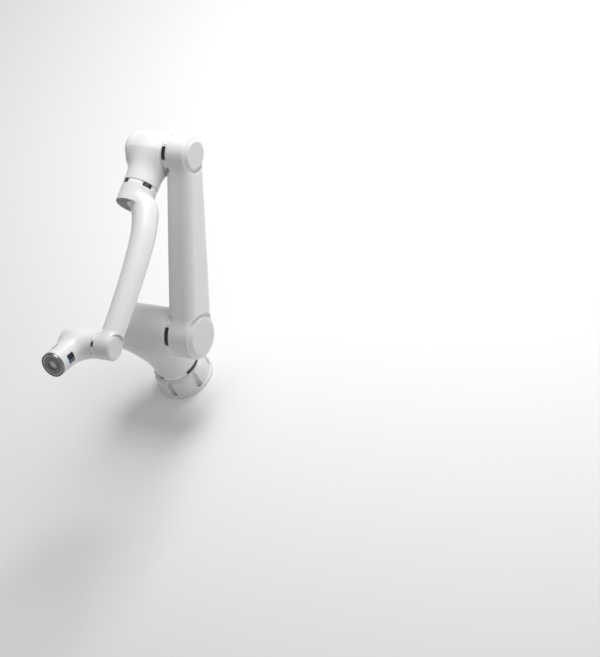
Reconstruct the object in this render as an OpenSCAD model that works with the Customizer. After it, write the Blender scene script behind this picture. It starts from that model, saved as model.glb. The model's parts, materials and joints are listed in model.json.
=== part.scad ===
// Six-axis collaborative robot arm, standing on its base.
// Origin: centre of the base's mounting face. +Z: the base joint's axis. +X: the side the arm reaches towards.

/* [Reach] */
// Height of the shoulder axis above the mounting face
shoulder_h = 254; // [244:1:300]
// Shoulder axis to elbow axis
upper_len = 600; // [520:5:700]
// Elbow axis to wrist axis, along the forearm roll axis
fore_len = 690; // [640:5:780]
// Wrist axis to the face of the tool flange
tool_len = 148; // [140:1:180]

/* [Pose at rest] */
// Upper arm lean back from upright, degrees
lean = 39.4; // [20:0.1:60]
// Elbow bend from straight, degrees
elbow_bend = 140.9; // [90:0.1:145]
// Wrist bend up from the forearm's line, degrees
wrist_bend = 34.9; // [0:0.1:90]

/* [Joint sizes] */
// Housing radius at the base and shoulder joints
big_r = 76; // [74:0.5:78]
// Housing radius at the elbow and forearm roll joints
mid_r = 58; // [56:0.5:60]
// Housing radius at the wrist and tool joints
small_r = 42; // [41:0.5:44]
// Wall of a joint housing
wall = 5.5; // [4.5:0.5:6]
// Gap between two links that the status ring fills
ring_h = 15; // [12:0.5:16]
// The same gap at the wrist joint
small_ring_h = 11; // [9:0.5:12]

/* [Link offsets] */
// Rims of the shoulder and elbow joints, sideways from the base axis
joint_side = 90; // [88:0.5:95]
// Plane of the forearm roll axis and of the tool axis, sideways from the base axis
fore_side = 25; // [22:0.5:26]
// Rim of the forearm roll joint, from the elbow axis
roll_rim = 130; // [128:0.5:140]
// Rim of the wrist joint, sideways from the tool axis
wrist_rim = 83.5; // [83:0.5:88]
// Rim of the tool joint, from the wrist axis
tool_rim = 138; // [134:0.5:138]

/* [Base] */
// Height of the base drum
base_h = 72; // [70:0.5:76]
// Radius of the foot
foot_r = 96; // [94:0.5:100]
// Radius of the drum above the foot
drum_r = 90; // [88:0.5:92]
// Thickness of the foot under the bolts
foot_t = 10; // [8:0.5:14]
// Bolt circle of the six mounting bolts
bolt_pcd = 170; // [168:1:172]
// Turn of the bolt circle about the base axis
bolt_turn = 6; // [0:1:30]
// Clearance hole of a mounting bolt
bolt_hole_d = 9; // [8.4:0.1:11]
// Pocket that a bolt head sits in
pocket_d = 19; // [16:0.5:20]

/* [Tool flange] */
// Bolt circle of the tool flange
tool_pcd = 50; // [50:1:50]
// Tapping drill of the four M6 tool screws
tool_hole_d = 5; // [5:0.1:5.2]
// Centring recess of the tool flange
pilot_d = 31.5; // [31.5:0.1:31.5]
// Thickness of the flange plate
flange_t = 9.5; // [8:0.5:12]

/* [Hidden] */
$fn = 96;
FLAT_FN = 32;
EPS = 0.1;
big_bore = big_r - wall;
mid_bore = mid_r - wall;
small_bore = small_r - 4.5;
big_depth = 62;
mid_depth = 66;
small_depth = 50;
seat_gap = 0.5;
out_h = ring_h + seat_gap;
small_out_h = small_ring_h + seat_gap;
web_t = 6;
rim_clear = 4;
bar_wall = 8;
cable_way_r = 19;
pilot_depth = 6.5;
// Where each link's outer shape ends, sideways
barrel_r = big_r + 3;
shoulder_back = -118;
elbow_back = -46;
wrist_back = -45;
dome_t = 22;
upper_side = joint_side + out_h;
upper_cap_y = 180;
elbow_cap_y = 175;
shoulder_cap_t = 13;
elbow_cap_t = 12;
tube_y = 141;
fore_start = roll_rim + out_h;
fore_end = 200;
fore_cap_t = 5;
wrist_out = wrist_rim - small_out_h;
fore_barrel_end = 138;
window_at = 98;
window_l = 30;
window_turn = 44;
window_place = 98;
led_w = 1.6;
socket_turn = bolt_turn + 210;
socket_z = 34;
// Forearm centre line: distance along the roll axis, then sideways from it
fore_path = [[182, 30], [215, 54], [260, 73], [330, 88], [460, 102], [fore_len, 113]];
fore_tube_r = 40;

// Places. In at_upper, at_fore and at_wrist, +Z runs along the link and Y stays sideways.
module at_upper() translate([0, 0, shoulder_h]) rotate([0, -lean, 0]) children();
module at_fore()
    at_upper() translate([0, 0, upper_len]) rotate([0, elbow_bend, 0]) children();
module at_wrist()
    at_fore() translate([0, fore_side, fore_len]) rotate([0, -wrist_bend, 0]) children();

// Joint places: +Z points from the rim of the housing that holds the drive towards the link it turns.
module at_joint(number) {
    if (number == 1) translate([0, 0, base_h]) children();
    if (number == 2) translate([0, joint_side, shoulder_h]) rotate([-90, 0, 0]) children();
    if (number == 3) at_fore() translate([0, joint_side, 0]) rotate([-90, 0, 0]) children();
    if (number == 4) at_fore() translate([0, fore_side, roll_rim]) children();
    if (number == 5) at_wrist() translate([0, wrist_rim, 0]) rotate([90, 0, 0]) children();
    if (number == 6) at_wrist() translate([0, 0, tool_rim]) children();
}
function joint_r(number) = number < 3 ? big_r : number < 5 ? mid_r : small_r;
function joint_bore(number) = number < 3 ? big_bore : number < 5 ? mid_bore : small_bore;
function joint_depth(number) = number < 3 ? big_depth : number < 5 ? mid_depth : small_depth;
function joint_gap(number) = number < 5 ? ring_h : small_ring_h;
function lens_count(number) = [3, 3, 2, 4, 3][number - 1];
function lens_place(number) = [82.5, 316, 210, 122, 163][number - 1];
function lens_turn(number) = [48, 48, 46, 33, 25][number - 1];

// Drive proportions, from the bore of its housing
function unit(number) = joint_bore(number) / 70;
function hub_r(number) = joint_bore(number) - 11 * unit(number) - 0.4;
function flex_r(number) = hub_r(number) - 8 * unit(number);
function shaft_r(number) = 18 * unit(number);
function shaft_top(number) = number == 6 ? 0 : joint_gap(number) - 1;
function magnet_r(number) = joint_bore(number) - 18 * unit(number);
function race_h(number) = 0.16 * joint_depth(number);
function gear_h(number) = 0.46 * joint_depth(number);
function brim_h(number) = 0.05 * joint_depth(number);
function motor_top(number) = 0.54 * joint_depth(number);
function motor_h(number) = 0.27 * joint_depth(number);

// A flat ring from z = low to z = high
module ring(outer, inner, low, high)
    translate([0, 0, low])
        difference() {
            cylinder(h = high - low, r = outer);
            translate([0, 0, -1]) cylinder(h = high - low + 2, r = inner);
        }

// A pie slice about Z, centred on +X, from z = low to z = high
module slice(turn, reach, low, high)
    translate([0, 0, low])
        linear_extrude(high - low)
            polygon([
                [0, 0],
                [reach * cos(turn / 2), -reach * sin(turn / 2)],
                [reach, 0],
                [reach * cos(turn / 2), reach * sin(turn / 2)]
            ]);

// Four arc windows a quarter turn apart
module arc_windows(outer, inner, low, high, turn, count)
    for (k = [0:count - 1])
        rotate([0, 0, 360 / count * k])
            intersection() {
                ring(outer, inner, low, high);
                slice(turn, 2 * outer, low - 1, high + 1);
            }

// Drive pieces, one set for each joint
module status_ring(number) {
    outer = joint_r(number) - 2.2;
    gap = joint_gap(number);
    color("white")
        at_joint(number)
            difference() {
                ring(outer, joint_bore(number) - 8 * unit(number), 0, gap - 0.6);
                rotate([0, 0, lens_place(number)])
                    arc_windows(
                        outer + 1, outer - 1.6, 2, gap - 2.6, lens_turn(number) + 0.3, lens_count(number)
                    );
            }
}

module status_lenses(number) {
    outer = joint_r(number) - 2;
    color([0.05, 0.05, 0.06])
        at_joint(number)
            rotate([0, 0, lens_place(number)])
                arc_windows(
                    outer, outer - 1.7, 2.1, joint_gap(number) - 2.7, lens_turn(number), lens_count(number)
                );
}

// Inner bearing race, circular spline and bolting face in one piece
module hub_body(number, top) {
    outer = hub_r(number);
    difference() {
        union() {
            ring(outer, flex_r(number) + 0.3, 1 - gear_h(number), -2);
            ring(outer, shaft_r(number) + 1, -2, top);
        }
        for (k = [0:11])
            rotate([0, 0, 30 * k])
                translate([outer - 5 * unit(number), 0, top - 8])
                    cylinder(h = 9, d = 5 * unit(number));
    }
}

module output_hub(number)
    color("lightsteelblue") at_joint(number) hub_body(number, joint_gap(number) + seat_gap);

// Outer race with its rollers, and the flexspline with its brim
module gear_unit(number) {
    bore = joint_bore(number);
    race = race_h(number);
    u = unit(number);
    color("silver")
        at_joint(number) {
            ring(bore - 0.1, bore - 7 * u, -race, -0.2);
            for (k = [0:15])
                rotate([0, 0, 22.5 * k])
                    translate([bore - 9.1 * u - 0.1, 0, 0.5 - race])
                        cylinder(h = race - 1, r = 1.8 * u);
            ring(flex_r(number), flex_r(number) - 1.6 * u, -gear_h(number) - EPS, -3 - 0.5 * u);
            ring(bore - 0.1, flex_r(number) - 1.6 * u, -gear_h(number) - brim_h(number), -gear_h(number));
        }
}

module stator(number) {
    bore = joint_bore(number);
    u = unit(number);
    top = -motor_top(number);
    tooth_h = motor_h(number);
    color("peru")
        at_joint(number) {
            ring(bore - 0.1, bore - 5 * u, top - tooth_h, top);
            for (k = [0:17])
                rotate([0, 0, 20 * k])
                    translate([magnet_r(number) + 0.8, -5.5 * u, top - tooth_h + 1])
                        cube([bore - 4.8 * u - magnet_r(number) - 0.8, 11 * u, tooth_h - 2]);
        }
}

// Hollow shaft, magnet ring and wave generator
module rotor(number) {
    u = unit(number);
    shaft = shaft_r(number);
    motor_mid = -motor_top(number) - motor_h(number) / 2;
    color("dimgray")
        at_joint(number)
            union() {
                ring(shaft, shaft - 3 * u, -joint_depth(number), shaft_top(number));
                ring(flex_r(number) - 1.6 * u - 0.3, shaft - EPS, 1 - gear_h(number), -race_h(number));
                ring(magnet_r(number), magnet_r(number) - 6 * u, motor_mid - 5 * u, motor_mid + 5 * u);
                ring(magnet_r(number) - 5.9 * u, shaft - EPS, motor_mid - 1.5 * u, motor_mid + 1.5 * u);
            }
}

module drive_board(number) {
    u = unit(number);
    back = -joint_depth(number);
    rim = joint_bore(number) - 3;
    inner = shaft_r(number) + 2;
    color("seagreen")
        at_joint(number) {
            ring(rim, inner, back, back + 1.6);
            for (turn = [20, 80, 150, 230, 300])
                rotate([0, 0, turn])
                    translate([(rim + inner) / 2 - 7 * u, -6 * u, back + 1.5])
                        cube([14 * u, 12 * u, 3 * u]);
        }
}

// Base
module base_profile()
    polygon(concat(
        [[0, 0], [foot_r - 1, 0], [foot_r, 1], [foot_r, foot_t - 2], [foot_r - 2, foot_t], [drum_r + 1, foot_t]],
        [for (a = [0:10:80]) [big_r + (drum_r - big_r) * cos(a), base_h - 30 + 30 * sin(a)]],
        [[big_r, base_h], [0, base_h]]
    ));

module base_housing()
    color("whitesmoke")
        difference() {
            union() {
                rotate_extrude() base_profile();
                rotate([0, 0, socket_turn]) translate([60, -22, foot_t + 2]) cube([33, 44, 44]);
            }
            translate([0, 0, web_t]) cylinder(h = base_h, r = big_bore);
            translate([0, 0, -1]) cylinder(h = web_t + 2, r = 20);
            rotate([0, 0, socket_turn])
                translate([50, 0, socket_z]) rotate([0, 90, 0]) cylinder(h = 60, r = 12);
            for (k = [0:5])
                rotate([0, 0, 60 * k + bolt_turn])
                    translate([bolt_pcd / 2, 0, 0]) {
                        translate([0, 0, -1]) cylinder(h = foot_t + 4, d = bolt_hole_d);
                        translate([0, 0, foot_t + 1]) cylinder(h = base_h, d = pocket_d);
                    }
        }

// Supply and data socket on the back of the drum
module base_connector()
    color("dimgray")
        rotate([0, 0, socket_turn])
            translate([95, 0, socket_z])
                rotate([0, -90, 0])
                    difference() {
                        union() {
                            cylinder(h = 2, r = 15);
                            cylinder(h = 20, r = 11.9);
                        }
                        translate([0, 0, -1]) cylinder(h = 13, r = 9);
                    }

// A round cap on +Z, whose edge rounds over from radius outer to radius top over height h
module round_cap(outer, top, h)
    rotate_extrude()
        polygon(concat(
            [[0, 0]],
            [for (a = [0:10:90]) [top + (outer - top) * cos(a), h * sin(a)]],
            [[0, h]]
        ));

// A hollow round cap
module shell_cap(outer, top, h)
    difference() {
        round_cap(outer, top, h);
        translate([0, 0, -EPS]) round_cap(outer - wall, top - wall / 2, h - wall);
    }

// Shoulder
module shoulder_housing()
    color("whitesmoke")
        difference() {
            union() {
                translate([0, 0, base_h + out_h]) cylinder(h = shoulder_h - base_h - out_h, r = big_r);
                translate([0, shoulder_back, shoulder_h])
                    rotate([-90, 0, 0]) cylinder(h = joint_side - shoulder_back - 12, r = barrel_r);
                translate([0, joint_side - 12, shoulder_h])
                    rotate([-90, 0, 0]) cylinder(h = 12, r1 = barrel_r, r2 = big_r);
            }
            translate([0, 0, base_h + out_h + web_t])
                cylinder(h = shoulder_h - base_h - out_h - web_t, r = big_bore - 8);
            translate([0, 0, base_h]) cylinder(h = 60, r = shaft_r(1) + 2);
            translate([0, shoulder_back - 1, shoulder_h])
                rotate([-90, 0, 0]) cylinder(h = joint_side - shoulder_back + 2, r = big_bore);
        }

module shoulder_rear_cap()
    color("whitesmoke")
        translate([0, shoulder_back, shoulder_h])
            rotate([90, 0, 0]) shell_cap(barrel_r, 44, dome_t);

// Upper arm
module tube_slab(width, thick, corner, z)
    translate([0, tube_y, z])
        linear_extrude(1)
            hull()
                for (x = [-1, 1], y = [-1, 1])
                    translate([x * (width / 2 - corner), y * (thick / 2 - corner)])
                        circle(r = corner, $fn = FLAT_FN);

module tube_solid(inset) {
    bottom_z = 30 + inset;
    top_z = upper_len - 20 - inset;
    hull() {
        tube_slab(126 - 2 * inset, 102 - 2 * inset, 30 - inset, bottom_z);
        tube_slab(99 - 2 * inset, 96 - 2 * inset, 28 - inset, top_z);
    }
}

// Room for the joints' rings and for the covers, with a margin all round them
module upper_clearance(margin) {
    for (end = [[0, big_r], [upper_len, mid_r]])
        translate([0, 0, end[0]])
            rotate([-90, 0, 0]) cylinder(h = upper_side + margin, r = end[1] + rim_clear + margin);
    for (end = [[0, big_r, upper_cap_y], [upper_len, mid_r, elbow_cap_y]])
        translate([0, end[2] - margin, end[0]])
            rotate([-90, 0, 0]) cylinder(h = 60, r = end[1] + 0.4 + margin);
}

module tube_between(inset)
    difference() {
        tube_solid(inset);
        upper_clearance(inset);
    }

module upper_arm_shell()
    color("whitesmoke")
        at_upper()
            difference() {
                union() {
                    translate([0, upper_side, 0])
                        rotate([-90, 0, 0]) cylinder(h = upper_cap_y - upper_side, r = big_r);
                    translate([0, upper_side, upper_len])
                        rotate([-90, 0, 0]) cylinder(h = elbow_cap_y - upper_side, r = mid_r);
                    tube_between(0);
                }
                tube_between(wall);
                translate([0, upper_side + web_t, 0])
                    rotate([-90, 0, 0]) cylinder(h = 120, r = big_bore);
                translate([0, upper_side + web_t, upper_len])
                    rotate([-90, 0, 0]) cylinder(h = 120, r = mid_bore);
                translate([0, upper_side - 1, 0])
                    rotate([-90, 0, 0]) cylinder(h = 20, r = shaft_r(2) + 2);
                translate([0, upper_side - 1, upper_len])
                    rotate([-90, 0, 0]) cylinder(h = 20, r = shaft_r(3) + 2);
            }

module upper_arm_shoulder_cap()
    color("gainsboro")
        at_upper()
            translate([0, upper_cap_y, 0])
                rotate([-90, 0, 0]) shell_cap(big_r - 3, 61, shoulder_cap_t);

module upper_arm_elbow_cap()
    color("gainsboro")
        at_upper()
            translate([0, elbow_cap_y, upper_len])
                rotate([-90, 0, 0]) shell_cap(mid_r - 2, 45, elbow_cap_t);

// Bundled power and data leads inside the upper arm
module upper_arm_harness()
    color("black") at_upper() translate([0, tube_y, 85]) cylinder(h = upper_len - 150, r = 8);

// Elbow
module elbow_housing()
    color("whitesmoke")
        at_fore()
            difference() {
                union() {
                    translate([0, elbow_back, 0])
                        rotate([-90, 0, 0]) cylinder(h = joint_side - elbow_back, r = mid_r);
                    translate([0, fore_side, 0]) cylinder(h = roll_rim, r = mid_r);
                }
                translate([0, elbow_back - 1, 0])
                    rotate([-90, 0, 0]) cylinder(h = joint_side - elbow_back + 2, r = mid_bore);
                translate([0, fore_side, 0]) cylinder(h = roll_rim + 1, r = mid_bore);
            }

module elbow_rear_cap()
    color("whitesmoke")
        at_fore()
            translate([0, elbow_back, 0])
                rotate([90, 0, 0]) shell_cap(mid_r, 34, dome_t);

// Forearm: a tube that swings out sideways from the roll axis to clear the wrist
module fore_ball(k)
    translate([0, fore_side + fore_path[k][1], fore_path[k][0]])
        sphere(r = fore_tube_r, $fn = FLAT_FN);

module fore_tube()
    for (k = [0:len(fore_path) - 2])
        hull() {
            fore_ball(k);
            fore_ball(k + 1);
        }

// A round bar inside the forearm between two stations of its centre line
module fore_bar(from, to, r) {
    here = fore_path[from];
    step = fore_path[to] - here;
    translate([0, fore_side + here[1], here[0]])
        rotate([-atan2(step[1], step[0]), 0, 0]) cylinder(h = norm(step), r = r);
}

// Room for the roll joint, the wrist joint and the wrist cover
module fore_clearance() {
    translate([0, fore_side, 0]) cylinder(h = fore_start, r = mid_r + 30);
    translate([0, fore_side, fore_len]) {
        rotate([-90, 0, 0]) cylinder(h = wrist_rim, r = small_r + rim_clear);
        translate([0, fore_barrel_end, 0]) rotate([-90, 0, 0]) cylinder(h = 60, r = small_r + 1);
    }
}

module forearm_shell()
    color("whitesmoke")
        at_fore()
            difference() {
                union() {
                    translate([0, fore_side, fore_start]) cylinder(h = fore_end - fore_start, r = mid_r);
                    difference() {
                        fore_tube();
                        fore_clearance();
                    }
                    translate([0, fore_side + wrist_rim, fore_len])
                        rotate([-90, 0, 0]) cylinder(h = fore_barrel_end - wrist_rim, r = small_r);
                }
                fore_bar(1, 3, fore_tube_r - bar_wall);
                fore_bar(2, 4, fore_tube_r - bar_wall - 1);
                fore_bar(4, 5, cable_way_r);
                translate([0, fore_side, fore_start + web_t])
                    cylinder(h = fore_end - fore_start - web_t - 1, r = mid_bore);
                translate([0, fore_side, fore_start - 1]) cylinder(h = 20, r = shaft_r(4) + 2);
                translate([0, fore_side + wrist_rim - 1, fore_len])
                    rotate([-90, 0, 0]) cylinder(h = 80, r = small_bore);
            }

module forearm_top_cap()
    color("gray")
        at_fore()
            difference() {
                translate([0, fore_side, fore_end]) cylinder(h = fore_cap_t, r = mid_r - 1.5);
                fore_tube();
            }

module forearm_wrist_cap()
    color("gainsboro")
        at_fore()
            translate([0, fore_side + fore_barrel_end, fore_len])
                rotate([-90, 0, 0]) shell_cap(small_r - 1, 37, 6);

module forearm_harness()
    color("black") at_fore() fore_bar(2, 4, 6);

// Wrist
module wrist_housing()
    color("whitesmoke")
        at_wrist()
            difference() {
                union() {
                    translate([0, wrist_back, 0])
                        rotate([-90, 0, 0]) cylinder(h = wrist_out - wrist_back, r = small_r);
                    cylinder(h = tool_rim, r = small_r);
                }
                translate([0, wrist_back - 1, 0])
                    rotate([-90, 0, 0]) cylinder(h = wrist_out - wrist_back - web_t + 1, r = small_bore);
                translate([0, 0, 0]) rotate([-90, 0, 0]) cylinder(h = 90, r = shaft_r(5) + 2);
                cylinder(h = tool_rim + 1, r = small_bore);
                window_arcs(
                    small_r + 1, small_r - 1.2, window_at - window_l / 2 - 0.2,
                    window_at + window_l / 2 + led_w + 0.4, window_turn + 0.2
                );
            }

// Three arcs round the wrist, where its panels and light lines sit
module window_arcs(outer, inner, low, high, turn)
    rotate([0, 0, window_place]) arc_windows(outer, inner, low, high, turn, 3);

module wrist_rear_cap()
    color("whitesmoke")
        at_wrist()
            translate([0, wrist_back, 0]) rotate([90, 0, 0]) shell_cap(small_r, 24, 18);

module wrist_windows()
    color([0.05, 0.05, 0.06])
        at_wrist()
            window_arcs(
                small_r, small_r - 1.1, window_at - window_l / 2, window_at + window_l / 2, window_turn
            );

module wrist_led_line()
    color("deepskyblue")
        at_wrist()
            window_arcs(
                small_r, small_r - 1.1, window_at + window_l / 2 + 0.1,
                window_at + window_l / 2 + 0.1 + led_w, window_turn
            );

module tool_flange()
    color("darkgray")
        at_wrist()
            difference() {
                union() {
                    translate([0, 0, tool_rim]) hub_body(6, 0.5 + EPS);
                    translate([0, 0, tool_len - flange_t]) cylinder(h = flange_t, r = small_r - 0.5);
                }
                translate([0, 0, tool_len - pilot_depth]) cylinder(h = pilot_depth + 1, d = pilot_d);
                translate([0, 0, tool_rim - 5])
                    cylinder(h = tool_len - flange_t - tool_rim + 5, r = shaft_r(6) + 1);
                for (k = [0:3])
                    rotate([0, 0, 90 * k + 45])
                        translate([tool_pcd / 2, 0, tool_len - flange_t])
                            cylinder(h = flange_t + 1, d = tool_hole_d);
            }

base_housing();
base_connector();
shoulder_housing();
shoulder_rear_cap();
upper_arm_shell();
upper_arm_shoulder_cap();
upper_arm_elbow_cap();
upper_arm_harness();
elbow_housing();
elbow_rear_cap();
forearm_shell();
forearm_top_cap();
forearm_wrist_cap();
forearm_harness();
wrist_housing();
wrist_rear_cap();
wrist_windows();
wrist_led_line();
tool_flange();
status_ring(1);  // joint_1_status_ring
status_ring(2);  // joint_2_status_ring
status_ring(3);  // joint_3_status_ring
status_ring(4);  // joint_4_status_ring
status_ring(5);  // joint_5_status_ring
status_lenses(1);  // joint_1_status_lenses
status_lenses(2);  // joint_2_status_lenses
status_lenses(3);  // joint_3_status_lenses
status_lenses(4);  // joint_4_status_lenses
status_lenses(5);  // joint_5_status_lenses
output_hub(1);  // joint_1_output_hub
output_hub(2);  // joint_2_output_hub
output_hub(3);  // joint_3_output_hub
output_hub(4);  // joint_4_output_hub
output_hub(5);  // joint_5_output_hub
gear_unit(1);  // joint_1_gear_unit
gear_unit(2);  // joint_2_gear_unit
gear_unit(3);  // joint_3_gear_unit
gear_unit(4);  // joint_4_gear_unit
gear_unit(5);  // joint_5_gear_unit
gear_unit(6);  // joint_6_gear_unit
stator(1);  // joint_1_stator
stator(2);  // joint_2_stator
stator(3);  // joint_3_stator
stator(4);  // joint_4_stator
stator(5);  // joint_5_stator
stator(6);  // joint_6_stator
rotor(1);  // joint_1_rotor
rotor(2);  // joint_2_rotor
rotor(3);  // joint_3_rotor
rotor(4);  // joint_4_rotor
rotor(5);  // joint_5_rotor
rotor(6);  // joint_6_rotor
drive_board(1);  // joint_1_drive_board
drive_board(2);  // joint_2_drive_board
drive_board(3);  // joint_3_drive_board
drive_board(4);  // joint_4_drive_board
drive_board(5);  // joint_5_drive_board
drive_board(6);  // joint_6_drive_board
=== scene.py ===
import json
import math

import bmesh
import bpy
import numpy as np
from mathutils import Matrix, Vector


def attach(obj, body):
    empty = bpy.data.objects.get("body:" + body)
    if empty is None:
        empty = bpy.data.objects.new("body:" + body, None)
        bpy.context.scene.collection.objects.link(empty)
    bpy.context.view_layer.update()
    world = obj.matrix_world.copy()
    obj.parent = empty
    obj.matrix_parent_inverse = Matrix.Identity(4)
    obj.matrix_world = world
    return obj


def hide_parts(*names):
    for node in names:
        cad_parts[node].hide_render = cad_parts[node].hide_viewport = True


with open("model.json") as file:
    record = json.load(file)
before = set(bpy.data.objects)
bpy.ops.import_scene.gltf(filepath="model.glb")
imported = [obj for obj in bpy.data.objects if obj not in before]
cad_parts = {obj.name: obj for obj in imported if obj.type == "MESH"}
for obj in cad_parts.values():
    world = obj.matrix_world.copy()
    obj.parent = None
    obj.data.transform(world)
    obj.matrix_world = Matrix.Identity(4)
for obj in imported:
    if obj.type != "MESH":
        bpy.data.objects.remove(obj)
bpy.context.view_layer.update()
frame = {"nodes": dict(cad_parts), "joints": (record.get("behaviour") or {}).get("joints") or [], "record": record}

# ---------------------------------------------------------------- the frame's own places, in metres
JOINTS = {j["name"]: j for j in frame["joints"]}
SIDEWAYS = Vector((0, 1, 0))


def place(origin, along):
    """A link's own frame: Z along the link, Y sideways, X forwards of both."""
    z = Vector(along).normalized()
    x = SIDEWAYS.cross(z).normalized()
    rows = Matrix((x, SIDEWAYS, z)).transposed()
    return Matrix.Translation(Vector(origin)) @ rows.to_4x4()


def out_y(at, y, flip=False):
    """A frame whose Z points along the link's +Y, or -Y, from place y."""
    return at @ Matrix.Translation((0, y, 0)) @ Matrix.Rotation(math.radians(90 if flip else -90), 4, "X")


SHOULDER = Vector(JOINTS["shoulder_swing"]["pos_m"])
ELBOW = Vector(JOINTS["elbow_bend"]["pos_m"])
ROLL_AXIS = Vector(JOINTS["forearm_roll"]["axis"])
ROLL_START = Vector(JOINTS["forearm_roll"]["pos_m"])
WRIST = Vector(JOINTS["wrist_bend"]["pos_m"])
TOOL_AXIS = Vector(JOINTS["tool_roll"]["axis"])

AT_BASE = Matrix.Identity(4)
AT_SHOULDER = Matrix.Translation(SHOULDER)
AT_UPPER = place(SHOULDER, ELBOW - SHOULDER)
AT_FORE = place(ROLL_START, ROLL_AXIS)
AT_WRIST = place(WRIST, TOOL_AXIS)
UPPER_LEN = (ELBOW - SHOULDER).length
FORE_LEN = (WRIST - ROLL_START).length

# Joint housings and gaps, as in the CAD model
BIG_R = 0.076  # housings at joints 1 and 2
MID_R = 0.058  # housings at joints 3 and 4
SMALL_R = 0.042  # housings at joints 5 and 6
GAP = 0.015  # width of the ring in joints 1 to 4
SMALL_GAP = 0.011  # width of the ring in joint 5
SEAT = 0.0005  # air between a ring and the housing that turns past it
BASE_H = 0.072  # top of the base
SHOULDER_RIM = 0.090  # where each housing ends at its next joint, measured from its own joint
ROLL_RIM = 0.130
WRIST_RIM = 0.0835
TOOL_RIM = 0.138
TOOL_FACE = 0.148  # the tool plate's outer face

# Meshing
LIP = 0.0014  # rounding of a housing's rim
RIM_REACH = 0.008  # how far past its radius a rim's cut takes the housing away
SHARP_ANGLE = math.radians(35)  # steeper edges are shaded sharp


# ---------------------------------------------------------------- distance fields
def away(a, b):
    """The distance from an axis, given the two coordinates across it."""
    return np.sqrt(a * a + b * b)


def smooth_min(a, b, k):
    """The union of two bodies, with a fillet about k wide."""
    h = np.clip(0.5 + 0.5 * (b - a) / k, 0, 1)
    return b * (1 - h) + a * h - k * h * (1 - h)


def smooth_max(a, b, k):
    """What two bodies share, with its edge rounded about k wide."""
    return -smooth_min(-a, -b, k)


def round_corner(a, b, radius):
    """A corner of the given radius between two sides, from the distances past the middle lines of its arc."""
    return away(np.maximum(a, 0), np.maximum(b, 0)) + np.minimum(np.maximum(a, b), 0) - radius


def rod(across, along, r, low, high, edge):
    """A round bar: across is the distance from its axis, along the place on it. Its end edges have radius edge."""
    return round_corner(across - (r - edge), np.abs(along - (low + high) / 2) - ((high - low) / 2 - edge), edge)


def rounded_square(u, v, half_u, half_v, corner):
    """An endless bar of rectangular section, u by v, with rounded corners."""
    return round_corner(np.abs(u) - (half_u - corner), np.abs(v) - (half_v - corner), corner)


def collar(body, across, along, r, rim):
    """Keeps the body 3 mm short of a joint's rim, with a plain round collar of radius r going on through it."""
    flat = smooth_max(body, along - (rim - 0.003), 0.004)
    return np.minimum(flat, rod(across, along, r, rim - 0.02, rim + 0.03, 0.001))


def cover_seat(body, across, along, r, seat):
    """Cuts the body flat for a round cover."""
    return smooth_max(body, -np.maximum(across - r, seat - along), 0.002)


def ramp(t, stops):
    """A value at place t, straight between (place, value) stops."""
    return np.interp(t, [s[0] for s in stops], [s[1] for s in stops])


# ---------------------------------------------------------------- meshing of distance fields
def net(field, low, high, pitch):
    """A quad mesh on the zero level of field, by surface nets: one point in each cell that the level crosses, and one
    quad round each grid edge that it crosses. Returns points and quads."""
    low, high = np.array(low, float), np.array(high, float)
    count = np.maximum(np.ceil((high - low) / pitch).astype(int) + 1, 3)
    axes = [low[i] + pitch * np.arange(count[i]) for i in range(3)]
    x, y, z = np.meshgrid(*axes, indexing="ij", sparse=True)
    value = np.broadcast_to(field(x, y, z), tuple(count)).astype(np.float64)
    inside = value < 0
    cells = tuple(count - 1)
    total = np.zeros(cells + (3,))
    hits = np.zeros(cells)
    corners = [(i, j, k) for i in (0, 1) for j in (0, 1) for k in (0, 1)]
    part = {c: tuple(slice(c[d], c[d] + cells[d]) for d in range(3)) for c in corners}
    for a in corners:
        for d in range(3):
            if a[d] == 1:
                continue
            b = tuple(1 if i == d else a[i] for i in range(3))
            va, vb = value[part[a]], value[part[b]]
            cross = (va < 0) != (vb < 0)
            t = np.where(cross, va / np.where(cross, va - vb, 1), 0)
            for i in range(3):
                total[..., i] += np.where(cross, a[i] + (t if i == d else 0), 0)
            hits += cross
    active = hits > 0
    index = np.full(cells, -1)
    index[active] = np.arange(active.sum())
    where = np.argwhere(active)
    points = low + pitch * (where + total[active] / hits[active][:, None])
    quads = []
    for d in range(3):
        e, f = (d + 1) % 3, (d + 2) % 3
        here = [slice(None)] * 3
        here[d] = slice(0, count[d] - 1)
        there = list(here)
        there[d] = slice(1, count[d])
        first, second = inside[tuple(here)], inside[tuple(there)]
        for sign, cross in ((1, first & ~second), (-1, ~first & second)):
            at = np.argwhere(cross)
            at = at[(at[:, e] > 0) & (at[:, f] > 0) & (at[:, e] < cells[e]) & (at[:, f] < cells[f])]
            ring = []
            for de, df in ((1, 1), (0, 1), (0, 0), (1, 0)):
                c = at.copy()
                c[:, e] -= de
                c[:, f] -= df
                ring.append(index[c[:, 0], c[:, 1], c[:, 2]])
            quads.append(np.stack(ring if sign > 0 else ring[::-1], 1))
    return points, np.concatenate(quads)


def slope(field, p, step=2e-4):
    """The gradient of field at points p."""
    g = np.zeros_like(p)
    for i in range(3):
        d = np.zeros(3)
        d[i] = step
        g[:, i] = (field(*(p + d).T) - field(*(p - d).T)) / (2 * step)
    return g


def settle(field, p, quads, rounds=3):
    """Evens out the net, and brings its points onto the zero level by Newton's method."""
    pairs = np.concatenate([quads[:, [i, (i + 1) % 4]] for i in range(4)])
    for turn in range(rounds):
        if turn < rounds - 1:
            total, n = np.zeros_like(p), np.zeros(len(p))
            np.add.at(total, pairs[:, 0], p[pairs[:, 1]])
            np.add.at(n, pairs[:, 0], 1)
            p = 0.4 * p + 0.6 * total / np.maximum(n, 1)[:, None]
        for _ in range(2):
            g = slope(field, p)
            p = p - (field(*p.T) / np.maximum((g * g).sum(1), 1e-9))[:, None] * g
    return p


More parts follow.
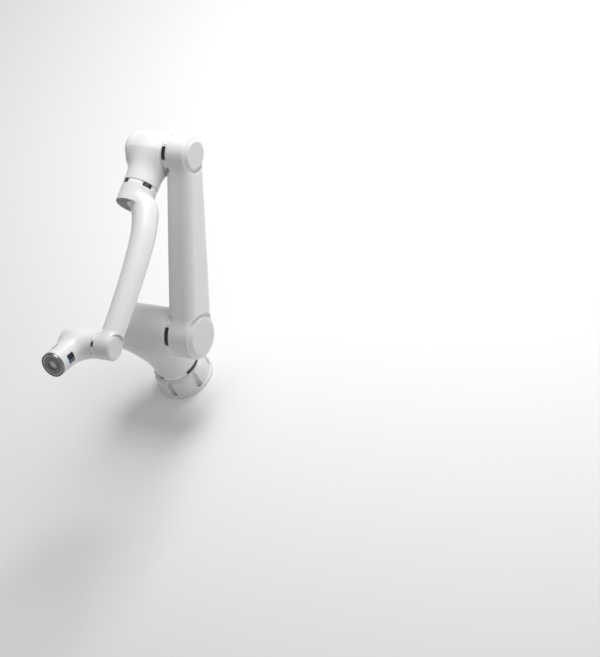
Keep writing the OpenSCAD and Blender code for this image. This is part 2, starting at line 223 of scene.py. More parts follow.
class Rim:
    """A round flat end of a shell: the shell is cut there, and gets a rounded lip and a wall inside."""

    def __init__(self, centre, axis, r, wall=0.004, depth=0.006, lip=LIP):
        self.centre, self.axis = Vector(centre), Vector(axis).normalized()
        self.r, self.wall, self.depth, self.lip = r, wall, depth, lip

    def profile(self):
        """(radius, height) points from the cut over the lip and down the wall inside."""
        arc = [math.radians(a) for a in (30, 60, 90)]
        round_over = [(self.r - self.lip * (1 - math.cos(a)), self.lip * (math.sin(a) - 1)) for a in arc]
        return round_over + [(self.r - self.wall, 0), (self.r - self.wall, -self.depth)]


def add_rim(bm, rim):
    """Cuts the shell at a rim and puts its lip and inner wall on."""
    cut = rim.centre - rim.axis * rim.lip

    def radius_of(v):
        return (v.co - cut - rim.axis * (v.co - cut).dot(rim.axis)).length

    near = {v for v in bm.verts if radius_of(v) < rim.r + RIM_REACH}
    faces = [f for f in bm.faces if all(v in near for v in f.verts)]
    # Dictionaries keep their order, unlike sets, so each run gives the same mesh
    edges = dict.fromkeys(e for f in faces for e in f.edges)
    verts = dict.fromkeys(v for f in faces for v in f.verts)
    made = bmesh.ops.bisect_plane(
        bm, geom=[*faces, *edges, *verts], plane_co=cut, plane_no=rim.axis, clear_outer=True
    )
    loop = [e for e in made["geom_cut"] if isinstance(e, bmesh.types.BMEdge) and e.is_boundary]
    last = {v: v for e in loop for v in e.verts}
    for r, along in rim.profile():
        fresh = {}
        for v in last:
            out = v.co - rim.centre
            out -= rim.axis * out.dot(rim.axis)
            fresh[v] = bm.verts.new(rim.centre + out.normalized() * r + rim.axis * along)
        for e in loop:
            a, b = e.verts
            bm.faces.new((last[a], last[b], fresh[b], fresh[a]))
        last = fresh


def finish_mesh(bm, name, at, material):
    """Turns a bmesh into a smooth-shaded object in the link's own frame."""
    bmesh.ops.recalc_face_normals(bm, faces=bm.faces)
    mesh = bpy.data.meshes.new(name)
    bm.to_mesh(mesh)
    bm.free()
    mesh.shade_smooth()
    mesh.set_sharp_from_angle(angle=SHARP_ANGLE)
    o = bpy.data.objects.new(name, mesh)
    o.matrix_world = at
    bpy.context.scene.collection.objects.link(o)
    o.data.materials.append(material)
    return o


def shell(name, at, field, low, high, pitch, material, rims):
    """A housing from a distance field in the link's own frame, cut at its rims."""
    p, quads = net(field, low, high, pitch)
    p = settle(field, p, quads)
    bm = bmesh.new()
    verts = [bm.verts.new(c) for c in p.tolist()]
    for q in quads.tolist():
        bm.faces.new([verts[i] for i in q])
    for rim in rims:
        add_rim(bm, rim)
    return finish_mesh(bm, name, at, material)


# ---------------------------------------------------------------- turned and wrapped pieces
def lathe(bm, profile, steps, spot=(0, 0)):
    """Adds a surface of revolution about Z at spot, from (radius, z) points. A point on the axis closes it."""
    rows = []
    for r, z in profile:
        if r == 0:
            rows.append([bm.verts.new((*spot, z))])
            continue
        turns = [2 * math.pi * k / steps for k in range(steps)]
        rows.append([bm.verts.new((spot[0] + r * math.cos(t), spot[1] + r * math.sin(t), z)) for t in turns])
    for a, b in zip(rows, rows[1:]):
        for k in range(steps):
            n = (k + 1) % steps
            corners = [a[k % len(a)], a[n % len(a)], b[n % len(b)], b[k % len(b)]]
            bm.faces.new([v for i, v in enumerate(corners) if v not in corners[:i]])


def turned(name, at, profile, material):
    bm = bmesh.new()
    lathe(bm, profile, 128)
    return finish_mesh(bm, name, at, material)


def arc(r, z, radius, start, end, steps=6):
    """Points of a round-over about (r, z), angles in degrees from outwards towards +Z."""
    turns = [math.radians(start + (end - start) * k / steps) for k in range(steps + 1)]
    return [(r + radius * math.cos(t), z + radius * math.sin(t)) for t in turns]


def dome(name, at, r, top, height, material, lip=0.0008):
    """A round cover whose edge rolls over, standing on Z = 0."""
    steps = 12
    roll = []
    for k in range(steps + 1):
        a = math.pi / 2 * k / steps
        roll.append((top + (r - top) * math.cos(a), lip + (height - lip) * math.sin(a)))
    crown = [(top * s, height + 0.0012 * (1 - s * s)) for s in (0.75, 0.5, 0.25, 0)]
    return turned(name, at, [(r - 0.004, 0.0), (r - lip, 0.0)] + roll + crown, material)


def round_cover(name, at, r, top, height, material):
    """A bevelled disc that stands in a shallow groove: side wall, rolled edge, flat face."""
    edge = 0.0025
    lean = [(r, -0.002), (r, 0.0015)]
    slope_out = [(r - (r - top) * s, 0.0015 + (height - 0.0015 - edge) * s) for s in (0.35, 0.7)]
    roll = arc(top - edge, height - edge, edge, 35, 90)
    flat = [(top * s, height) for s in (0.7, 0.35, 0)]
    return turned(name, at, lean + slope_out + roll + flat, material)


def patch(bm, r, turn, width, low, high, corner, thick):
    """A window wrapped round Z: a rounded rectangle at radius r, centred at turn degrees and width degrees wide."""
    edge = 0.0004
    half_a = math.radians(width) / 2 * r
    half_z = (high - low) / 2
    corner = min(corner, half_a * 0.98, half_z * 0.98)
    outline = []
    for sx, sz, start in ((1, 1, 0), (-1, 1, 90), (-1, -1, 180), (1, -1, 270)):
        for k in range(7):
            t = math.radians(start + 15 * k)
            u = sx * (half_a - corner) + corner * math.cos(t)
            v = sz * (half_z - corner) + corner * math.sin(t)
            outline.append((u, v))
    dense = []
    for (u0, v0), (u1, v1) in zip(outline, outline[1:] + outline[:1]):
        n = max(1, int(math.hypot(u1 - u0, v1 - v0) / 0.002))
        dense += [(u0 + (u1 - u0) * k / n, v0 + (v1 - v0) * k / n) for k in range(n)]

    def vert(u, v, radius):
        a = math.radians(turn) + u / r
        return bm.verts.new((radius * math.cos(a), radius * math.sin(a), (low + high) / 2 + v))

    def ring(scale, radius):
        return [vert(u * scale, v * scale, radius) for u, v in dense]

    near_edge = 1 - edge / min(half_a, half_z)
    rings = [ring(1, r - thick), ring(1, r - edge), ring(near_edge, r)]
    rings += [ring(s, r) for s in (0.8, 0.6, 0.4, 0.2)]
    centre = vert(0, 0, r)
    for a, b in zip(rings, rings[1:]):
        for k in range(len(dense)):
            n = (k + 1) % len(dense)
            bm.faces.new((a[k], a[n], b[n], b[k]))
    for k in range(len(dense)):
        bm.faces.new((rings[-1][k], rings[-1][(k + 1) % len(dense)], centre))


def spaced(count, first, width):
    """Window places, (middle, width) in degrees, evenly spaced round a joint."""
    return [(first + 360 * k / count, width) for k in range(count)]


def windows(name, at, r, places, low, high, corner, thick, material):
    """One piece with a window at each place."""
    bm = bmesh.new()
    for turn, width in places:
        patch(bm, r, turn, width, low, high, corner, thick)
    return finish_mesh(bm, name, at, material)


# ---------------------------------------------------------------- materials
def new_material(name):
    m = bpy.data.materials.new(name)
    m.use_nodes = True
    nodes, links = m.node_tree.nodes, m.node_tree.links
    nodes.clear()
    out = nodes.new("ShaderNodeOutputMaterial")
    shader = nodes.new("ShaderNodeBsdfPrincipled")
    links.new(shader.outputs[0], out.inputs[0])
    return m, nodes, links, shader


def noise(nodes, links, scale, detail=3.0):
    place_node = nodes.new("ShaderNodeTexCoord")
    n = nodes.new("ShaderNodeTexNoise")
    n.inputs["Scale"].default_value = scale
    n.inputs["Detail"].default_value = detail
    links.new(place_node.outputs["Object"], n.inputs["Vector"])
    return n.outputs[0]


def spread(nodes, links, value, low, high):
    """Maps a 0 to 1 value onto low to high."""
    n = nodes.new("ShaderNodeMapRange")
    n.inputs["From Min"].default_value = 0.3
    n.inputs["From Max"].default_value = 0.7
    n.inputs["To Min"].default_value = low
    n.inputs["To Max"].default_value = high
    links.new(value, n.inputs["Value"])
    return n.outputs[0]


def tint(nodes, links, value, dark, light):
    n = nodes.new("ShaderNodeMix")
    n.data_type = "RGBA"
    n.inputs[6].default_value = (*dark, 1)
    n.inputs[7].default_value = (*light, 1)
    links.new(value, n.inputs[0])
    return n.outputs[2]


def bump(nodes, links, shader, value, depth):
    n = nodes.new("ShaderNodeBump")
    n.inputs["Distance"].default_value = depth
    n.inputs["Strength"].default_value = 1.0
    links.new(value, n.inputs["Height"])
    links.new(n.outputs[0], shader.inputs["Normal"])


def surface(name, dark, light, rough, grain, depth, metallic=0.0, coat=0.0):
    """Paint, plastic or metal: slow tint and roughness drift, fine grain in the bump."""
    m, nodes, links, shader = new_material(name)
    slow = noise(nodes, links, 9.0, 2.0)
    links.new(tint(nodes, links, slow, dark, light), shader.inputs["Base Color"])
    fine = noise(nodes, links, grain, 2.0)
    links.new(spread(nodes, links, noise(nodes, links, grain / 4), *rough), shader.inputs["Roughness"])
    bump(nodes, links, shader, fine, depth)
    shader.inputs["Metallic"].default_value = metallic
    shader.inputs["Coat Weight"].default_value = coat
    shader.inputs["Coat Roughness"].default_value = 0.08
    return m


def grey(v, warm=0.0):
    """A grey, a little redder and less blue with warm."""
    return (v + warm, v, v - warm)


# Name, darkest and lightest tint, range of roughness, scale of the grain, its depth in metres
PAINT = surface("arm_paint", grey(0.74, 0.003), grey(0.77, 0.003), (0.34, 0.42), 900, 0.00002)
COVER = surface("cover_paint", grey(0.68, 0.003), grey(0.71, 0.003), (0.40, 0.48), 1200, 0.00002)
# Painted shade: a dark grey for the forearm's top cover, whose white paint only lies in shade on its downward face
SHADED_END_COVER = surface("shaded_end_cover", grey(0.20), grey(0.23), (0.45, 0.55), 1200, 0.00002)
GROOVE = surface("ring_seat", grey(0.74), grey(0.78), (0.5, 0.6), 900, 0.00002)
LENS = surface("black_lens", (0.006, 0.006, 0.007), (0.010, 0.010, 0.012), (0.08, 0.12), 60, 0.000004, coat=0.6)
STEEL = surface("machined_steel", grey(0.50), grey(0.60), (0.22, 0.36), 1500, 0.00001, metallic=1.0)
ROTOR = surface("rotor_steel", grey(0.22), grey(0.30), (0.28, 0.42), 1500, 0.00001, metallic=1.0)
COPPER = surface(
    "stator_copper", (0.60, 0.26, 0.12), (0.78, 0.38, 0.20), (0.25, 0.40), 1800, 0.00006, metallic=1.0
)
BOARD = surface("circuit_board", (0.01, 0.10, 0.04), (0.02, 0.16, 0.07), (0.35, 0.5), 1500, 0.00003)
JACKET = surface("cable_jacket", grey(0.015), grey(0.03), (0.5, 0.65), 1200, 0.00004)
SOCKET = surface("connector_metal", grey(0.30), grey(0.38), (0.25, 0.38), 1500, 0.00001, metallic=1.0)


def glow_material(name, colour, strength):
    """A lit diffuser."""
    m, nodes, links, shader = new_material(name)
    slow = noise(nodes, links, 30.0)
    links.new(tint(nodes, links, slow, tuple(0.93 * c for c in colour), colour), shader.inputs["Base Color"])
    links.new(spread(nodes, links, noise(nodes, links, 400), 0.28, 0.36), shader.inputs["Roughness"])
    shader.inputs["Emission Color"].default_value = (*colour, 1)
    shader.inputs["Emission Strength"].default_value = strength
    return m


DIFFUSER = glow_material("ring_diffuser", (0.84, 0.84, 0.84), 0.05)
BLUE = glow_material("blue_light", (0.10, 0.32, 0.85), 0.8)


def turned_metal(name, dark, light, metallic=1.0):
    """Turned aluminium: fine concentric tool marks about the piece's own Z."""
    m, nodes, links, shader = new_material(name)
    coords = nodes.new("ShaderNodeTexCoord")
    split = nodes.new("ShaderNodeSeparateXYZ")
    links.new(coords.outputs["Object"], split.inputs[0])
    flat = nodes.new("ShaderNodeCombineXYZ")
    links.new(split.outputs[0], flat.inputs[0])
    links.new(split.outputs[1], flat.inputs[1])
    far = nodes.new("ShaderNodeVectorMath")
    far.operation = "LENGTH"
    links.new(flat.outputs[0], far.inputs[0])
    mark = nodes.new("ShaderNodeTexNoise")
    mark.noise_dimensions = "1D"
    mark.inputs["Scale"].default_value = 1400.0
    links.new(far.outputs["Value"], mark.inputs["W"])
    links.new(tint(nodes, links, mark.outputs[0], dark, light), shader.inputs["Base Color"])
    links.new(spread(nodes, links, mark.outputs[0], 0.26, 0.38), shader.inputs["Roughness"])
    bump(nodes, links, shader, mark.outputs[0], 0.00003)
    shader.inputs["Metallic"].default_value = metallic
    return m


FLANGE = turned_metal("flange_metal", grey(0.20), grey(0.27))
BRIGHT = turned_metal("flange_step", grey(0.62), grey(0.74), 0.35)

SLOT_MATERIAL = {
    "arm_paint": PAINT, "cover_paint": COVER, "ring_diffuser": DIFFUSER, "black_lens": LENS,
    "machined_steel": STEEL, "stator_copper": COPPER, "rotor_steel": ROTOR, "circuit_board": BOARD,
    "cable_jacket": JACKET, "blue_light": BLUE, "flange_metal": FLANGE, "connector_metal": SOCKET,
}
for part in frame["record"]["subparts"]:
    cad = frame["nodes"][part["node"]]
    cad.data.materials.clear()
    cad.data.materials.append(SLOT_MATERIAL[part["material_slot"]])


def stand_in(piece, body, slot, *nodes):
    """Puts a piece on its body, in place of CAD nodes if any are given; the slot argument is not used."""
    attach(piece, body)
    if nodes:
        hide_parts(*nodes)
    return piece


# ---------------------------------------------------------------- base
FOOT_R = 0.096
FOOT_H = 0.010
DRUM_R = 0.0905
BOLT_COUNT = 6
BOLT_CIRCLE_R = 0.085
BOLT_HOLE_R = 0.0045
BOLT_TURN = math.radians(6)
POCKET_R = 0.0095
POCKET_FLOOR = 0.011
SOCKET_TURN = math.radians(216)
SOCKET_Z = 0.034
SOCKET_R = 0.0122
SOCKET_FLOOR = 0.06
PAD_HALF = 0.022


def base_field(x, y, z):
    """A drum with a rounded shoulder on a thin foot, open pockets over the bolts, and a pad for the socket."""
    rho = away(x, y)
    drum = rod(rho, z, DRUM_R, -0.02, BASE_H, 0.019)
    drum = np.minimum(drum, rod(rho, z, BIG_R, 0.0, BASE_H + 0.01, 0.001))
    foot = rod(rho, z, FOOT_R, -0.02, FOOT_H, 0.002)
    body = smooth_min(drum, foot, 0.006)
    half = math.pi / BOLT_COUNT
    turn = (np.arctan2(y, x) - BOLT_TURN + half) % (2 * half) - half
    u, v = rho * np.cos(turn) - BOLT_CIRCLE_R, rho * np.sin(turn)
    slot_r = away(np.where(u > 0, 0, u), v)
    pocket = smooth_max(slot_r - POCKET_R, POCKET_FLOOR - z, 0.002)
    body = smooth_max(body, -pocket, 0.002)
    body = np.maximum(body, BOLT_HOLE_R - away(u, v))
    cx, cy = math.cos(SOCKET_TURN), math.sin(SOCKET_TURN)
    out, side = x * cx + y * cy, -x * cy + y * cx
    pad = rounded_square(side, z - SOCKET_Z, PAD_HALF, PAD_HALF, 0.006)
    body = smooth_min(body, np.maximum(pad, np.abs(out - 0.080) - 0.013), 0.003)
    mouth = away(side, z - SOCKET_Z) - SOCKET_R
    body = np.maximum(body, -np.maximum(mouth, SOCKET_FLOOR - out))
    return np.maximum(body, -z)


base = shell(
    "base_drum", AT_BASE, base_field,
    (-0.101, -0.101, -0.004), (0.101, 0.101, BASE_H + 0.006), 0.0017, PAINT,
    rims=[Rim((0, 0, BASE_H), (0, 0, 1), BIG_R, wall=0.006, lip=0.001)],
)
stand_in(base, "base", "arm_paint", "base_housing")


# ---------------------------------------------------------------- shoulder
STEM_RIM = BASE_H + GAP + SEAT - SHOULDER.z
COVER_GAP = 0.0006  # the fine seam in front of a rear cover
BARREL_R = 0.0785
SHOULDER_SEAM = -0.118
SHOULDER_BACK = -0.140


def shoulder_field(x, y, z):
    """An upright stem that flows into a level barrel, slightly narrower towards the upper arm."""
    stem = rod(away(x, y), z, BIG_R, STEM_RIM - 0.03, 0.0, 0.005)
    rho = away(x, z)
    bulge = BARREL_R - 0.0025 * np.clip((y - 0.04) / 0.05, 0, 1) ** 2
    barrel = rod(rho - (bulge - BARREL_R), y, BARREL_R, SHOULDER_BACK, SHOULDER_RIM + 0.03, 0.034)
    blend = ramp(z, [(-0.02, 0.075), (0.05, 0.010)])
    body = collar(smooth_min(stem, barrel, blend), rho, y, BIG_R, SHOULDER_RIM)
    return collar(body, away(x, y), -z, BIG_R, -STEM_RIM)


shoulder = shell(
    "shoulder_casting", AT_SHOULDER, shoulder_field,
    (-0.1, SHOULDER_SEAM - 0.012, STEM_RIM - 0.012), (0.1, SHOULDER_RIM + 0.012, 0.09), 0.0030, PAINT,
    rims=[
        Rim((0, 0, STEM_RIM), (0, 0, -1), BIG_R),
        Rim((0, SHOULDER_RIM, 0), (0, 1, 0), BIG_R),
        Rim((0, SHOULDER_SEAM, 0), (0, -1, 0), BARREL_R, lip=0.0008),
    ],
)
stand_in(shoulder, "shoulder", "arm_paint", "shoulder_housing")
shoulder_cap = dome(
    "shoulder_rear_cover", out_y(AT_SHOULDER, SHOULDER_SEAM - COVER_GAP, True), BARREL_R, 0.046, 0.0205, PAINT
)
stand_in(shoulder_cap, "shoulder", "cover_paint", "shoulder_rear_cap")


# ---------------------------------------------------------------- upper arm
UPPER_SIDE = SHOULDER_RIM + GAP + SEAT
TUBE_Y = 0.141
UPPER_CAP_Y = 0.180
ELBOW_CAP_Y = 0.175
TUBE_STOPS = [(0.03, 0.0625), (0.25, 0.0585), (0.58, 0.0495)]
THICK_STOPS = [(0.03, 0.051), (0.58, 0.0475)]


def upper_field(x, y, z):
    """A box-like tube beside both joints, with a round drum over each."""
    low = rod(away(x, z), y, BIG_R, UPPER_SIDE - 0.03, UPPER_CAP_Y + 0.004, 0.006)
    w = z - UPPER_LEN
    high = rod(away(x, w), y, MID_R, UPPER_SIDE - 0.03, ELBOW_CAP_Y + 0.003, 0.006)
    tube = rounded_square(x, y - TUBE_Y, ramp(z, TUBE_STOPS), ramp(z, THICK_STOPS), 0.030)
    tube = smooth_max(tube, np.abs(z - UPPER_LEN / 2) - UPPER_LEN / 2, 0.02)
    for across, r in ((away(x, z), BIG_R), (away(x, w), MID_R)):
        ring_room = np.maximum(across - r - 0.011, y - UPPER_SIDE - 0.0065)
        tube = smooth_max(tube, -ring_room, 0.008)
    body = smooth_min(smooth_min(low, tube, 0.014), high, 0.012)
    body = cover_seat(body, away(x, z), y, BIG_R + 0.0005, UPPER_CAP_Y + 0.003)
    return cover_seat(body, away(x, w), y, MID_R + 0.0005, ELBOW_CAP_Y + 0.002)


upper = shell(
    "upper_arm_casting", AT_UPPER, upper_field,
    (-0.085, UPPER_SIDE - 0.012, -0.085), (0.085, UPPER_CAP_Y + 0.018, UPPER_LEN + 0.066), 0.0032, PAINT,
    rims=[
        Rim((0, UPPER_SIDE, 0), (0, -1, 0), BIG_R),
        Rim((0, UPPER_SIDE, UPPER_LEN), (0, -1, 0), MID_R),
    ],
)
stand_in(upper, "upper_arm", "arm_paint", "upper_arm_shell")
low_cap = round_cover(
    "upper_arm_shoulder_cover", out_y(AT_UPPER, UPPER_CAP_Y + 0.0035), 0.0695, 0.0615, 0.0095, COVER
)
stand_in(low_cap, "upper_arm", "cover_paint", "upper_arm_shoulder_cap")
high_cap = round_cover(
    "upper_arm_elbow_cover", out_y(AT_UPPER @ Matrix.Translation((0, 0, UPPER_LEN)), ELBOW_CAP_Y + 0.0025),
    0.0525, 0.0455, 0.0095, COVER,
)
stand_in(high_cap, "upper_arm", "cover_paint", "upper_arm_elbow_cap")


# ---------------------------------------------------------------- elbow
ELBOW_RIM = SHOULDER_RIM - ROLL_START.y
ELBOW_SEAM = -0.071


def elbow_field(x, y, z):
    """A stem along the forearm that flows into a barrel across it."""
    stem = rod(away(x, y), z, MID_R, -0.050, ROLL_RIM + 0.03, 0.030)
    barrel = rod(away(x, z), y, MID_R, ELBOW_SEAM, ELBOW_RIM + 0.03, 0.004)
    blend = ramp(z, [(-0.045, 0.006), (0.02, 0.055)])
    body = collar(smooth_min(stem, barrel, blend), away(x, z), y, MID_R, ELBOW_RIM)
    return collar(body, away(x, y), z, MID_R, ROLL_RIM)


elbow = shell(
    "elbow_casting", AT_FORE, elbow_field,
    (-0.075, ELBOW_SEAM - 0.02, -0.075), (0.075, ELBOW_RIM + 0.012, ROLL_RIM + 0.012), 0.0028, PAINT,
    rims=[Rim((0, ELBOW_RIM, 0), (0, 1, 0), MID_R), Rim((0, 0, ROLL_RIM), (0, 0, 1), MID_R)],
)
stand_in(elbow, "elbow", "arm_paint", "elbow_housing")
elbow_cap = dome(
    "elbow_rear_cover", out_y(AT_FORE, ELBOW_SEAM - COVER_GAP, True), MID_R - 0.006, 0.026, 0.0215, PAINT
)
stand_in(elbow_cap, "elbow", "cover_paint", "elbow_rear_cap")


# ---------------------------------------------------------------- forearm
FORE_START = ROLL_RIM + GAP + SEAT
FORE_END = 0.2045
TUBE_FROM = 0.165
# How far the tube's middle is to the side, and its radius, along the forearm
SWING_STOPS = [
    (0.150, 0.008), (0.180, 0.028), (0.200, 0.0425), (0.230, 0.0605), (0.280, 0.0780), (0.340, 0.0895),
    (0.420, 0.0990), (0.500, 0.1055), (0.600, 0.1112), (0.690, 0.1130), (0.760, 0.1130),
]
TUBE_R_STOPS = [(0.15, 0.044), (0.20, 0.0450), (0.23, 0.0425), (0.34, 0.0400), (0.46, 0.0383), (0.69, 0.0368)]
WRIST_BARREL_END = 0.138


def eased(t, stops):
    """The stops, rounded where they change slope."""
    step = 0.012
    return sum(w * ramp(t + k * step, stops) for k, w in ((-2, 0.1), (-1, 0.25), (0, 0.3), (1, 0.25), (2, 0.1)))


def forearm_field(x, y, z):
    """A short head on the roll joint, a round tube that swings out sideways, and a small barrel beside the wrist."""
    head = rod(away(x, y), z, MID_R, FORE_START - 0.03, FORE_END, 0.0012)
    centre = eased(z, SWING_STOPS)
    step = 0.002
    tilt = (eased(z + step, SWING_STOPS) - eased(z - step, SWING_STOPS)) / (2 * step)
    side = (y - centre) / np.sqrt(1 + tilt * tilt)
    tube = away(x, side) - eased(z, TUBE_R_STOPS)
    tube = smooth_max(tube, np.abs(z - (FORE_LEN + TUBE_FROM) / 2) - (FORE_LEN - TUBE_FROM) / 2, 0.03)
    w = z - FORE_LEN
    across = away(x, w)
    ring_room = np.maximum(across - SMALL_R - 0.011, y - WRIST_RIM - 0.0055)
    tube = smooth_max(tube, -ring_room, 0.008)
    barrel = rod(across, y, SMALL_R, WRIST_RIM - 0.03, WRIST_BARREL_END + 0.001, 0.003)
    body = smooth_min(smooth_min(head, tube, 0.012), barrel, 0.016)
    return cover_seat(body, across, y, SMALL_R + 0.0005, WRIST_BARREL_END)


forearm = shell(
    "forearm_casting", AT_FORE, forearm_field,
    (-0.065, -0.065, FORE_START - 0.012), (0.065, WRIST_BARREL_END + 0.022, FORE_LEN + 0.05), 0.0030, PAINT,
    rims=[
        Rim((0, 0, FORE_START), (0, 0, -1), MID_R),
        Rim((0, WRIST_RIM, FORE_LEN), (0, -1, 0), SMALL_R),
    ],
)
stand_in(forearm, "forearm", "arm_paint", "forearm_shell")
# The top cover carries painted shade: dark grey in place of the white paint that lies in shade there
top_cap = turned(
    "forearm_top_cover", AT_FORE @ Matrix.Translation((0, 0, FORE_END - 0.003)),
    [(MID_R - 0.002, 0), (MID_R - 0.002, 0.0028)] + arc(MID_R - 0.0028, 0.0030, 0.0008, 0, 90)
    + [(0.03, 0.0038), (0, 0.0038)],
    SHADED_END_COVER,
)
stand_in(top_cap, "forearm", "cover_paint", "forearm_top_cap")
wrist_cap = round_cover(
    "forearm_wrist_cover", out_y(AT_FORE @ Matrix.Translation((0, 0, FORE_LEN)), WRIST_BARREL_END - 0.0005),
    0.0405, 0.0375, 0.0055, COVER,
)
stand_in(wrist_cap, "forearm", "cover_paint", "forearm_wrist_cap")


# ---------------------------------------------------------------- wrist
WRIST_OUT = WRIST_RIM - SMALL_GAP - SEAT
WRIST_SEAM = -0.045


def wrist_field(x, y, z):
    """A stem towards the tool that flows into a barrel across it."""
    stem = rod(away(x, y), z, SMALL_R, -0.036, TOOL_RIM + 0.03, 0.022)
    barrel = rod(away(x, z), y, SMALL_R, WRIST_SEAM, WRIST_OUT + 0.03, 0.003)
    blend = ramp(z, [(-0.035, 0.004), (0.015, 0.042)])
    body = collar(smooth_min(stem, barrel, blend), away(x, z), y, SMALL_R, WRIST_OUT)
    return collar(body, away(x, y), z, SMALL_R, TOOL_RIM)


wrist = shell(
    "wrist_casting", AT_WRIST, wrist_field,
    (-0.055, WRIST_SEAM - 0.025, -0.055), (0.055, WRIST_OUT + 0.012, TOOL_RIM + 0.012), 0.0022, PAINT,
    rims=[Rim((0, WRIST_OUT, 0), (0, 1, 0), SMALL_R), Rim((0, 0, TOOL_RIM), (0, 0, 1), SMALL_R, lip=0.001)],
)
stand_in(wrist, "wrist", "arm_paint", "wrist_housing")
wrist_rear = dome(
    "wrist_rear_cover", out_y(AT_WRIST, WRIST_SEAM - COVER_GAP, True), SMALL_R - 0.003, 0.016, 0.0165, PAINT
)
stand_in(wrist_rear, "wrist", "cover_paint", "wrist_rear_cap")
PANEL_Z = 0.098
PANEL_HALF = 0.015
PANEL_TURN = 98
panels = windows(
    "wrist_panels", AT_WRIST, SMALL_R + 0.0003, spaced(3, PANEL_TURN, 44),
    PANEL_Z - PANEL_HALF, PANEL_Z + PANEL_HALF, 0.003, 0.0015, LENS,
)
stand_in(panels, "wrist", "black_lens", "wrist_windows")
led = windows(
    "wrist_light_lines", AT_WRIST, SMALL_R + 0.0005, spaced(3, PANEL_TURN, 43),
    PANEL_Z + PANEL_HALF + 0.0002, PANEL_Z + PANEL_HALF + 0.0018, 0.0007, 0.0015, BLUE,
)
stand_in(led, "wrist", "blue_light", "wrist_led_line")

# ---------------------------------------------------------------- tool flange
AT_FACE = AT_WRIST @ Matrix.Translation((0, 0, TOOL_FACE))
SCREW_CIRCLE_R = 0.025
flange = turned(
    "tool_plate", AT_FACE,
    [(0.030, TOOL_RIM - TOOL_FACE), (SMALL_R - 0.0012, TOOL_RIM - TOOL_FACE + 0.0006)]
    + arc(SMALL_R - 0.0015, -0.0075, 0.0008, -90, 0) + arc(SMALL_R - 0.0017, -0.0012, 0.0010, 0, 90)
    + [(0.0365, -0.0002), (0.0360, -0.0008), (0.0360, -0.0022), (0.0318, -0.0022), (0.0315, -0.0018)]
    + [(0.0315, -0.0004), (0.0311, 0.0), (0.0162, 0.0), (0.01575, -0.0005), (0.01575, -0.0066)],
    FLANGE,
)
stand_in(flange, "tool", "flange_metal", "tool_flange")
recess = turned(
    "tool_plate_recess", AT_FACE, [(0.0158, -0.0065), (0.0060, -0.0065), (0.0052, -0.0058), (0, -0.0058)], BRIGHT
)
stand_in(recess, "tool", "flange_metal")
band = turned(
    "tool_plate_band", AT_FACE, [(0.0319, -0.0022), (0.0321, -0.0016), (0.0357, -0.0016), (0.0359, -0.0022)], BRIGHT
)
stand_in(band, "tool", "flange_metal")
BUSH = [(0.0034, -0.0001), (0.0034, 0.0003), (0.0028, 0.0004), (0.0025, -0.0002), (0.0025, -0.004), (0, -0.004)]
bushes = bmesh.new()
for k in range(4):
    t = math.radians(45 + 90 * k)
    lathe(bushes, BUSH, 24, (SCREW_CIRCLE_R * math.cos(t), SCREW_CIRCLE_R * math.sin(t)))
stand_in(finish_mesh(bushes, "tool_screw_bushes", AT_FACE, STEEL), "tool", "flange_metal")

# ---------------------------------------------------------------- joint rings
# The body each ring rides on, its place, the housing's radius, the ring's width, and its dark windows
RINGS = {
    1: ("base", AT_BASE @ Matrix.Translation((0, 0, BASE_H)), BIG_R, GAP, spaced(3, 82.5, 48)),
    2: ("shoulder", out_y(AT_SHOULDER, SHOULDER_RIM), BIG_R, GAP, spaced(3, 316, 48)),
    3: ("elbow", out_y(AT_FORE, ELBOW_RIM), MID_R, GAP, spaced(2, 210, 46)),
    4: ("elbow", AT_FORE @ Matrix.Translation((0, 0, ROLL_RIM)), MID_R, GAP, spaced(4, 122, 33)),
    5: ("forearm", out_y(AT_FORE @ Matrix.Translation((0, 0, FORE_LEN)), WRIST_RIM, True), SMALL_R, SMALL_GAP,
        spaced(3, 163, 25)),
}
SPACE = 6  # degrees between a dark window and the pale one beside it
# Small round dark spots between the windows, at these turns
DOTS = {3: [131, 273], 4: [80], 5: [118.5, 223]}
DOT_WIDTH = 4.5
DOT_HALF = 0.0022


def between(places):
    """The places left free between windows."""
    order = sorted((turn % 360, width) for turn, width in places)
    free = []
    for (a, wide_a), (b, wide_b) in zip(order, order[1:] + [(order[0][0] + 360, order[0][1])]):
        start, end = a + wide_a / 2 + SPACE, b - wide_b / 2 - SPACE
        free.append(((start + end) / 2, end - start))
    return free


for number, (body, at, r, gap, dark) in RINGS.items():
    joint = f"joint_{number}"
    inner_r, seat_r = r - 0.012, r - 0.0032
    seat = turned(f"{joint}_ring_seat", at, [(inner_r, 0.0), (seat_r, 0.0), (seat_r, gap), (inner_r, gap)], GROOVE)
    stand_in(seat, body, "ring_diffuser", f"{joint}_status_ring")
    inset = 0.0022 if number == 5 else 0.0008
    lenses = windows(f"{joint}_dark_windows", at, r - 0.0014, dark, inset, gap - inset, 0.0035, 0.0025, LENS)
    stand_in(lenses, body, "black_lens", f"{joint}_status_lenses")
    if number in DOTS:
        eyes = windows(
            f"{joint}_sensor_eyes", at, r - 0.0009, [(turn, DOT_WIDTH) for turn in DOTS[number]],
            gap / 2 - DOT_HALF, gap / 2 + DOT_HALF, DOT_HALF, 0.0025, LENS,
        )
        stand_in(eyes, body, "black_lens")
    lit = windows(
        f"{joint}_light_windows", at, r - 0.0016, between(dark), 0.0012, gap - 0.0008, 0.002, 0.0022, DIFFUSER
    )
    stand_in(lit, body, "ring_diffuser")


# ---------------------------------------------------------------- camera
# The photograph's viewpoint. The arm's base is tilted there, so the camera is tilted here instead.
EYE = Vector((5.5353, 7.4437, 9.1502))
VIEW = Vector((-0.4465, -0.54928, -0.70635)).normalized()
UP = Vector((-0.79065, -0.12742, 0.59887))
LENS_MM = 216.25

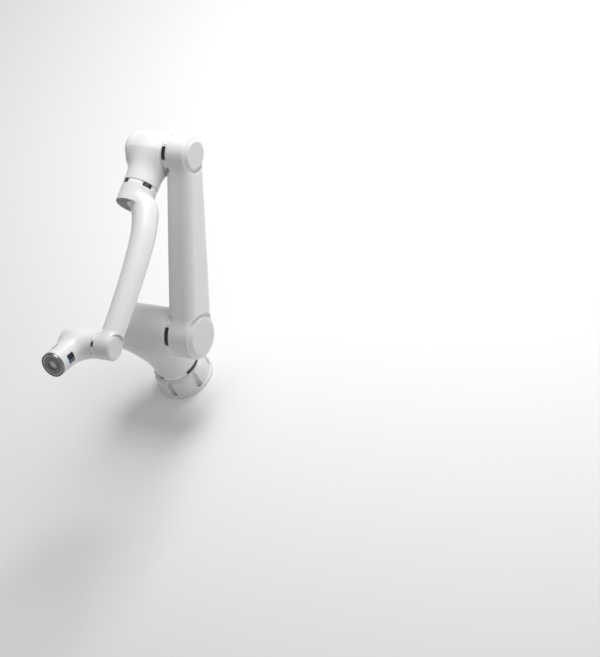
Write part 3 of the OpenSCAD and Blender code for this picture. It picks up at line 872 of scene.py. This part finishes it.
camera_data = bpy.data.cameras.new("camera")
camera_data.sensor_width = 36
camera_data.lens = LENS_MM
camera_data.clip_end = 100
camera = bpy.data.objects.new("camera", camera_data)
bpy.context.scene.collection.objects.link(camera)
RIGHT = VIEW.cross(UP).normalized()
UP = RIGHT.cross(VIEW).normalized()
camera.matrix_world = Matrix.Translation(EYE) @ Matrix((RIGHT, UP, -VIEW)).transposed().to_4x4()
bpy.context.scene.camera = camera


# ---------------------------------------------------------------- floor and light
def add_floor():
    """A plain pale floor just under the base."""
    m, nodes, links, shader = new_material("floor")
    slow = noise(nodes, links, 1.5)
    links.new(tint(nodes, links, slow, grey(0.93), grey(0.95)), shader.inputs["Base Color"])
    shader.inputs["Roughness"].default_value = 0.8
    bm = bmesh.new()
    bmesh.ops.create_grid(bm, x_segments=1, y_segments=1, size=30)
    mesh = bpy.data.meshes.new("floor")
    bm.to_mesh(mesh)
    bm.free()
    o = bpy.data.objects.new("floor", mesh)
    o.location.z = -0.0005
    bpy.context.scene.collection.objects.link(o)
    o.data.materials.append(m)


add_floor()


LIGHT_DISTANCE = 3.0
LIT_POINT = Vector((-0.05, 0.05, 0.40))


def add_light(name, direction, size, power):
    """A round soft light in the given direction from the arm's middle, aimed at it."""
    data = bpy.data.lights.new(name, "AREA")
    data.shape = "DISK"
    data.size = size
    data.energy = power
    o = bpy.data.objects.new(name, data)
    d = Vector(direction).normalized()
    o.location = LIT_POINT + d * LIGHT_DISTANCE
    o.rotation_euler = (-d).to_track_quat("-Z", "Y").to_euler()
    bpy.context.scene.collection.objects.link(o)


add_light("key", UP * 1.0 - VIEW * 0.38 + RIGHT * 0.10, 1.8, 80)
add_light("front", VIEW * -0.75 + RIGHT * 0.65 + UP * 0.25, 2.0, 11)
world = bpy.data.worlds.new("studio")
bpy.context.scene.world = world
world.use_nodes = True
background = world.node_tree.nodes["Background"]
background.inputs["Color"].default_value = (1, 1, 1, 1)
background.inputs["Strength"].default_value = 0.36
bpy.context.scene.view_settings.view_transform = "Standard"
